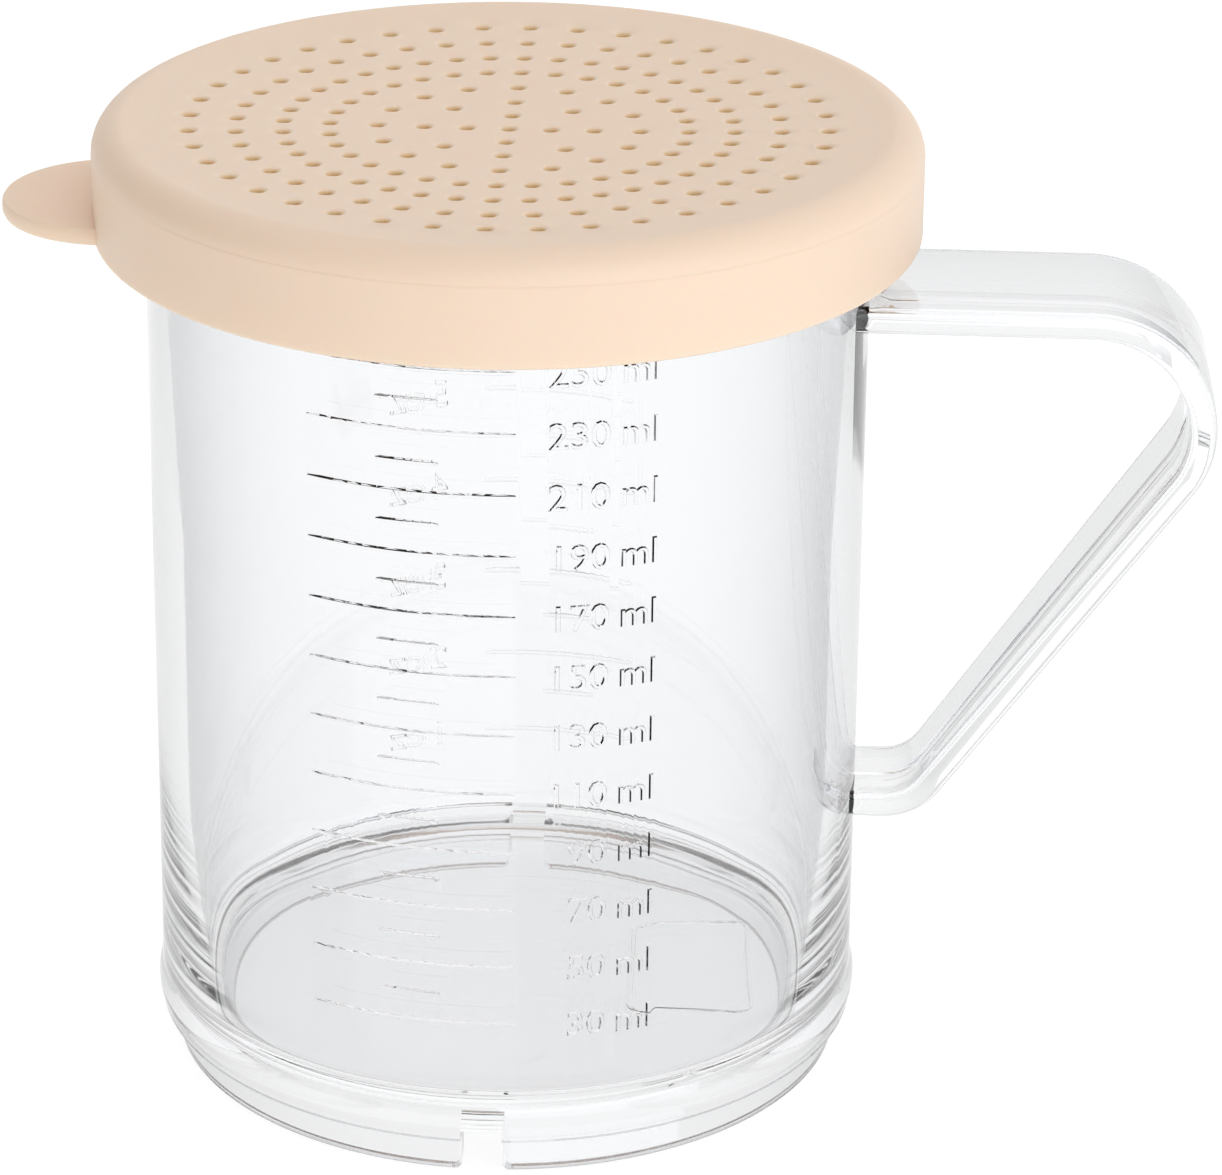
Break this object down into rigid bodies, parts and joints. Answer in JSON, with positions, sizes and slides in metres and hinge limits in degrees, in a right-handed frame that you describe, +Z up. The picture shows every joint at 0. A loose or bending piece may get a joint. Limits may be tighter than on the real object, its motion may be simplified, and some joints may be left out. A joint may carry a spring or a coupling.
{
  "type": "flour shaker",
  "caption": "Clear handled cup with volume marks and a lift-off lid whose dished top is a fine sieve, for dusting flour or sugar.",
  "frame": {"origin": "on the resting surface, under the middle of the whole object's box; the cup's own axis stands at x = -9.918 mm", "axes": "+Z up along the cup, +X towards the handle, -X towards the lid's thumb tab, -Y the side with the metric scale"},
  "size_m": [0.1186, 0.0804, 0.0971],
  "materials": {
    "clear_plastic": "clear, glossy",
    "lid_plastic": "warm beige, soft satin, slightly translucent"
  },
  "bodies": {
    "cup": {"cup_wall": "clear_plastic", "cup_rim": "clear_plastic", "cup_floor": "clear_plastic", "foot_handle_side": "clear_plastic", "foot_tab_side": "clear_plastic", "handle": "clear_plastic"},
    "lid": {"lid_shell": "lid_plastic", "sieve_plate": "lid_plastic", "thumb_tab": "lid_plastic"}
  },
  "joints": [
    {"name": "lid_lift", "type": "slide", "parent": "cup", "child": "lid", "axis": [0, 0, 1], "range_m": [0, 0.1]}
  ]
}
